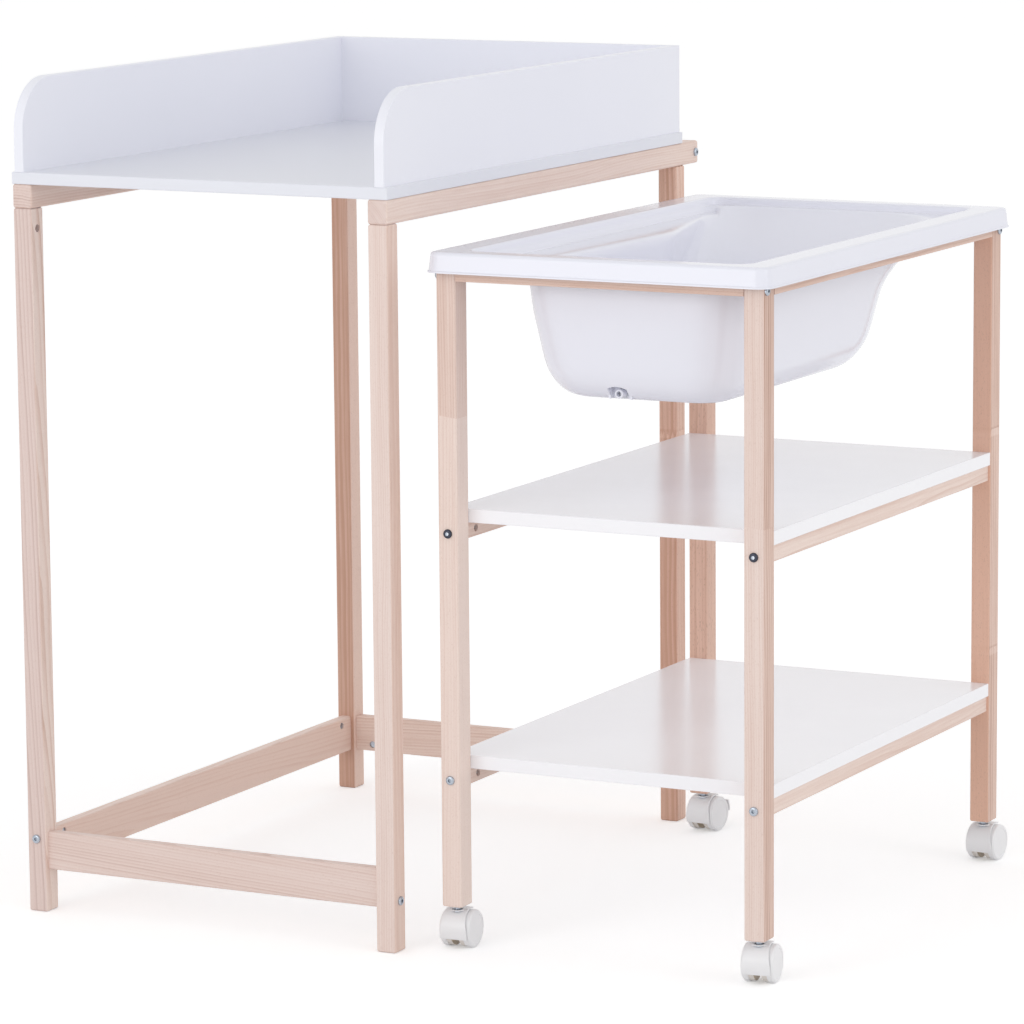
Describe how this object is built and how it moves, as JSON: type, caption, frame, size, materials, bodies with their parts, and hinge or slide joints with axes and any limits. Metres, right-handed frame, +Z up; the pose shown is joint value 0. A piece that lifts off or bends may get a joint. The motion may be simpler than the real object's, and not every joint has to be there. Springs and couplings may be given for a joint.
{
  "type": "changing table with bathtub",
  "caption": "Beech changing table with a guarded white board and an open bay, and a rolling cart with storage shelves that carries a moulded white baby bathtub.",
  "frame": {"origin": "middle of the underside of the whole part's box, on the floor", "axes": "+Z up; +X from the changing table towards the bath cart; -Y is the open front"},
  "size_m": [1.0812, 0.9362, 1.123],
  "materials": {
    "beech": "clear matt lacquer on planed beech",
    "white_board": "satin white melamine on board",
    "zinc_steel": "bright zinc plate",
    "white_tub": "glossy white moulding",
    "rubber": "matt light grey",
    "white_nylon": "smooth white nylon"
  },
  "bodies": {
    "table": {"changing_top": "white_board", "guard_left": "white_board", "guard_right": "white_board", "guard_rear": "white_board", "table_rail_left": "beech", "table_rail_right": "beech", "table_rail_rear": "beech", "table_leg_front_left": "beech", "table_leg_front_right": "beech", "table_leg_rear_left": "beech", "table_leg_rear_right": "beech", "table_stretcher_front": "beech", "table_stretcher_left": "beech", "table_stretcher_rear": "beech", "table_bolts": "zinc_steel", "table_barrel_nuts": "zinc_steel", "table_dowels": "beech", "board_screws": "zinc_steel", "guard_screws": "zinc_steel"},
    "cart": {"cart_leg_front_left": "beech", "cart_leg_front_right": "beech", "cart_leg_rear_left": "beech", "cart_leg_rear_right": "beech", "cart_rail_front": "beech", "cart_rail_rear": "beech", "cart_rail_left": "beech", "cart_rail_right": "beech", "upper_shelf": "white_board", "lower_shelf": "white_board", "upper_shelf_rail_left": "beech", "upper_shelf_rail_right": "beech", "lower_shelf_rail_left": "beech", "lower_shelf_rail_right": "beech", "cart_bolts": "zinc_steel", "cart_barrel_nuts": "zinc_steel", "cart_dowels": "beech", "shelf_screws": "zinc_steel", "caster_sockets": "zinc_steel", "caster_stems": "zinc_steel"},
    "tub": {"bathtub": "white_tub", "drain_spigot": "white_tub", "drain_seal": "rubber"},
    "plug": {"drain_plug": "rubber"},
    "caster_front_left": {"caster_hood_front_left": "white_nylon", "caster_axle_front_left": "zinc_steel"},
    "wheel_front_left_left": {"wheel_front_left_left": "white_nylon"},
    "wheel_front_left_right": {"wheel_front_left_right": "white_nylon"},
    "caster_front_right": {"caster_hood_front_right": "white_nylon", "caster_axle_front_right": "zinc_steel"},
    "wheel_front_right_left": {"wheel_front_right_left": "white_nylon"},
    "wheel_front_right_right": {"wheel_front_right_right": "white_nylon"},
    "caster_rear_left": {"caster_hood_rear_left": "white_nylon", "caster_axle_rear_left": "zinc_steel"},
    "wheel_rear_left_left": {"wheel_rear_left_left": "white_nylon"},
    "wheel_rear_left_right": {"wheel_rear_left_right": "white_nylon"},
    "brake": {"brake_lever": "white_nylon"},
    "caster_rear_right": {"caster_hood_rear_right": "white_nylon", "caster_axle_rear_right": "zinc_steel"},
    "wheel_rear_right_left": {"wheel_rear_right_left": "white_nylon"},
    "wheel_rear_right_right": {"wheel_rear_right_right": "white_nylon"}
  },
  "joints": [
    {"name": "cart_roll", "type": "slide", "parent": "table", "child": "cart", "axis": [1, 0, 0], "range_m": [-0.566, 0.25]},
    {"name": "tub_lift", "type": "slide", "parent": "cart", "child": "tub", "axis": [0, 0, 1], "range_m": [0, 0.25]},
    {"name": "plug_pull", "type": "slide", "parent": "tub", "child": "plug", "axis": [0, 1, 0], "range_m": [0, 0.03]},
    {"name": "swivel_front_left", "type": "hinge", "parent": "cart", "child": "caster_front_left", "pos_m": [0.0826, -0.3994, 0.0575], "axis": [0, 0, 1], "continuous": true},
    {"name": "spin_front_left_left", "type": "hinge", "parent": "caster_front_left", "child": "wheel_front_left_left", "pos_m": [0.08197, -0.38742, 0.025], "axis": [0.9986, 0.0523, 0], "continuous": true},
    {"name": "spin_front_left_right", "type": "hinge", "parent": "caster_front_left", "child": "wheel_front_left_right", "pos_m": [0.08197, -0.38742, 0.025], "axis": [0.9986, 0.0523, 0], "continuous": true},
    {"name": "swivel_front_right", "type": "hinge", "parent": "cart", "child": "caster_front_right", "pos_m": [0.5146, -0.3994, 0.0575], "axis": [0, 0, 1], "continuous": true},
    {"name": "spin_front_right_left", "type": "hinge", "parent": "caster_front_right", "child": "wheel_front_right_left", "pos_m": [0.51314, -0.38749, 0.025], "axis": [0.9925, 0.1219, 0], "continuous": true},
    {"name": "spin_front_right_right", "type": "hinge", "parent": "caster_front_right", "child": "wheel_front_right_right", "pos_m": [0.51314, -0.38749, 0.025], "axis": [0.9925, 0.1219, 0], "continuous": true},
    {"name": "swivel_rear_left", "type": "hinge", "parent": "cart", "child": "caster_rear_left", "pos_m": [0.0826, 0.3586, 0.0575], "axis": [0, 0, 1], "continuous": true},
    {"name": "spin_rear_left_left", "type": "hinge", "parent": "caster_rear_left", "child": "wheel_rear_left_left", "pos_m": [0.08385, 0.37053, 0.025], "axis": [0.9945, -0.1045, 0], "continuous": true},
    {"name": "spin_rear_left_right", "type": "hinge", "parent": "caster_rear_left", "child": "wheel_rear_left_right", "pos_m": [0.08385, 0.37053, 0.025], "axis": [0.9945, -0.1045, 0], "continuous": true},
    {"name": "brake_press", "type": "hinge", "parent": "caster_rear_left", "child": "brake", "pos_m": [0.08516, 0.38297, 0.0386], "axis": [-0.9945, 0.1045, 0], "range_deg": [0, 12]},
    {"name": "swivel_rear_right", "type": "hinge", "parent": "cart", "child": "caster_rear_right", "pos_m": [0.5146, 0.3586, 0.0575], "axis": [0, 0, 1], "continuous": true},
    {"name": "spin_rear_right_left", "type": "hinge", "parent": "caster_rear_right", "child": "wheel_rear_right_left", "pos_m": [0.51523, 0.37058, 0.025], "axis": [0.9986, -0.0523, 0], "continuous": true},
    {"name": "spin_rear_right_right", "type": "hinge", "parent": "caster_rear_right", "child": "wheel_rear_right_right", "pos_m": [0.51523, 0.37058, 0.025], "axis": [0.9986, -0.0523, 0], "continuous": true}
  ]
}
